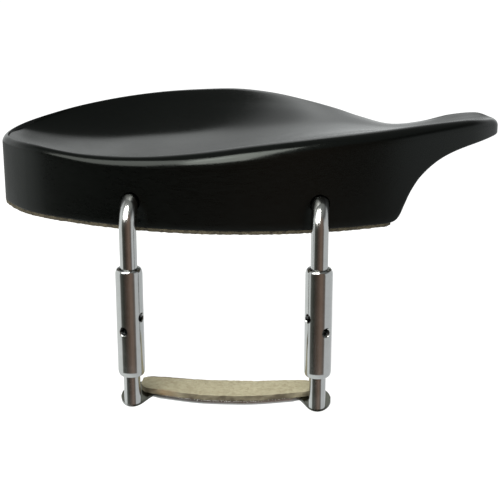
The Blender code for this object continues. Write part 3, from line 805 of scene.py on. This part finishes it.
def make_world():
    """A dark room round a white sweep: the sweep shows low down, and a warm dark gap opens towards -Y. The
    camera itself sees plain white behind the object."""
    world = bpy.data.worlds.new("studio")
    bpy.context.scene.world = world
    n = Nodes(world)
    n.tree.nodes.clear()
    sideways, depth, height = n.parts("ShaderNodeTexCoord", "Generated")
    azimuth = n.maths('ARCTAN2', sideways, n.maths('MULTIPLY', depth, -1.0))
    turn = n.span(azimuth, -math.pi, math.pi, 0.0, 1.0)

    def around(stops):
        return n.ramp(turn, [(0.5 + degrees / 360, colour) for degrees, colour in stops])

    def rise(low, high):
        return n.span(height, sine(low), sine(high), 0.0, 1.0, 'SMOOTHSTEP')

    room, cover = around(ROOM)
    upper = around([(degrees, (level * 0.98, level, level)) for degrees, level in BACKDROP])[0]
    lower = n.mix(n.span(sideways, -1.0, 1.0, 0.0, 1.0, 'SMOOTHSTEP'), SWEEP_LEFT, SWEEP_RIGHT)
    low = n.mix(n.maths('MULTIPLY', cover, rise(-31.0, -27.0)), n.mix(rise(14.0, 38.0), lower, upper), room)
    seen = n.mix(rise(40.0, 54.0), low, CEILING)
    shown = n.mix(n.add("ShaderNodeLightPath").outputs["Is Camera Ray"], seen, (1.0, 1.0, 1.0, 1.0))
    background = n.add("ShaderNodeBackground", None, Color=shown)
    n.add("ShaderNodeOutputWorld", None, Surface=background.outputs[0])


def make_lights():
    """One long softbox above the camera's side, weaker towards its far end. Each part has its angle to the side,
    its half width in degrees and its radiance."""
    tilt = math.radians(SOFTBOX_TILT)
    for name, (sideways, half_width, radiance) in SOFTBOXES.items():
        a = math.radians(sideways)
        away = Vector((math.sin(a), -math.cos(a) * math.cos(tilt), math.cos(a) * math.sin(tilt)))
        lamp = bpy.data.lights.new(name, 'AREA')
        lamp.shape = 'RECTANGLE'
        lamp.size = 2 * SOFTBOX_DISTANCE * math.tan(math.radians(half_width))
        lamp.size_y = 2 * SOFTBOX_DISTANCE * math.tan(math.radians(SOFTBOX_HALF_HEIGHT))
        lamp.energy = radiance * math.pi * lamp.size * lamp.size_y
        lamp.color = SOFTBOX_COLOUR
        box = bpy.data.objects.new(name, lamp)
        bpy.context.scene.collection.objects.link(box)
        box.location = away * SOFTBOX_DISTANCE
        box.rotation_euler = away.to_track_quat('Z', 'Y').to_euler()
        box.visible_camera = False


def make_floor():
    """A pale floor that lights the object a little from below and can't be seen in the chrome."""
    mesh = bmesh.new()
    bmesh.ops.create_grid(mesh, x_segments=8, y_segments=8, size=5.0)
    floor = piece("floor", mesh)
    floor.location = (0, 0, FLOOR_Z * MM)
    material = bpy.data.materials.new("white_sweep")
    n = Nodes(material)
    n.shader.inputs["Base Color"].default_value = (0.22, 0.22, 0.22, 1)
    n.shader.inputs["Roughness"].default_value = 1.0
    n.shader.inputs["Specular IOR Level"].default_value = 0.0
    n.shader.inputs["Emission Color"].default_value = (1, 1, 1, 1)
    n.shader.inputs["Emission Strength"].default_value = 0.95
    floor.data.materials.append(material)
    floor.visible_glossy = False


def make_camera():
    """The camera at the photograph's angle."""
    data = bpy.data.cameras.new("camera")
    data.sensor_width = 36.0
    data.lens = CAMERA_LENS
    data.clip_start = 0.01
    data.clip_end = 20.0
    camera = bpy.data.objects.new("camera", data)
    bpy.context.scene.collection.objects.link(camera)
    elevation = math.radians(CAMERA_ELEVATION)
    azimuth = math.radians(CAMERA_AZIMUTH)
    back = Vector((math.sin(azimuth) * math.cos(elevation), -math.cos(azimuth) * math.cos(elevation),
                   math.sin(elevation)))
    right = Vector((math.cos(azimuth), math.sin(azimuth), 0))
    up = back.cross(right)
    turn = Matrix((right, up, back)).transposed().to_4x4()
    centre = (Vector(CAMERA_TARGET) + back * CAMERA_DISTANCE) * MM
    camera.matrix_world = Matrix.Translation(centre) @ turn
    bpy.context.scene.camera = camera


# ---------------------------------------------------------------------------------------------- all of it

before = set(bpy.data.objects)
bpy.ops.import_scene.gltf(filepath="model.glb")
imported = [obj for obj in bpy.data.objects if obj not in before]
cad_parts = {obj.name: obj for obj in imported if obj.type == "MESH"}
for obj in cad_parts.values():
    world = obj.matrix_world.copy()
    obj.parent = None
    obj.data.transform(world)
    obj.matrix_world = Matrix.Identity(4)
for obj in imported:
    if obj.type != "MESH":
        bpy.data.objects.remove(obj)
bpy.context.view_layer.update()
noise.seed_set(5)
bpy.context.scene.view_settings.view_transform = 'Standard'
make_camera()
make_world()
make_lights()
make_floor()

wood = ebony()
plated = chrome("chrome_plate")
bent = chrome("chrome_hooks", dull_bends=True)
stamped = chrome("chrome_stamping", paint_lug_shade=True)
strip_cork = cork("strip_cork", (0.016, 0.013, 0.007), (0.085, 0.072, 0.043), (0.008, 0.006, 0.003), False)
pad_cork = cork("pad_cork", (0.30, 0.27, 0.175), (0.44, 0.405, 0.28), (0.25, 0.20, 0.12), True)

for made, node, body, material, slot in (
        (make_plate(), "chin_plate", "plate", wood, "black_wood"),
        (make_plate_cork(), "plate_cork", "plate", strip_cork, "cork"),
        (make_hook_post("left_hook", -POST_X), "left_hook_post", "plate", bent, "chrome"),
        (make_hook_post("right_hook", POST_X), "right_hook_post", "plate", bent, "chrome"),
        (make_barrel("left_barrel_nut", -POST_X, LEFT_BARREL_Z, -25), "left_barrel", "left_barrel", plated, "chrome"),
        (make_barrel("right_barrel_nut", POST_X, RIGHT_BARREL_Z, 37), "right_barrel", "right_barrel", plated,
         "chrome"),
        (make_stud("left_lower_rod", -POST_X, 1), "left_stud", "foot", plated, "chrome"),
        (make_stud("right_lower_rod", POST_X, 1), "right_stud", "foot", plated, "chrome"),
        (make_bracket(), "foot_bracket", "foot", stamped, "chrome"),
        (make_bracket_cork(), "bracket_cork", "foot", pad_cork, "cork")):
    paint(made, material)
    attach(made, body)
    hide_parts(node)
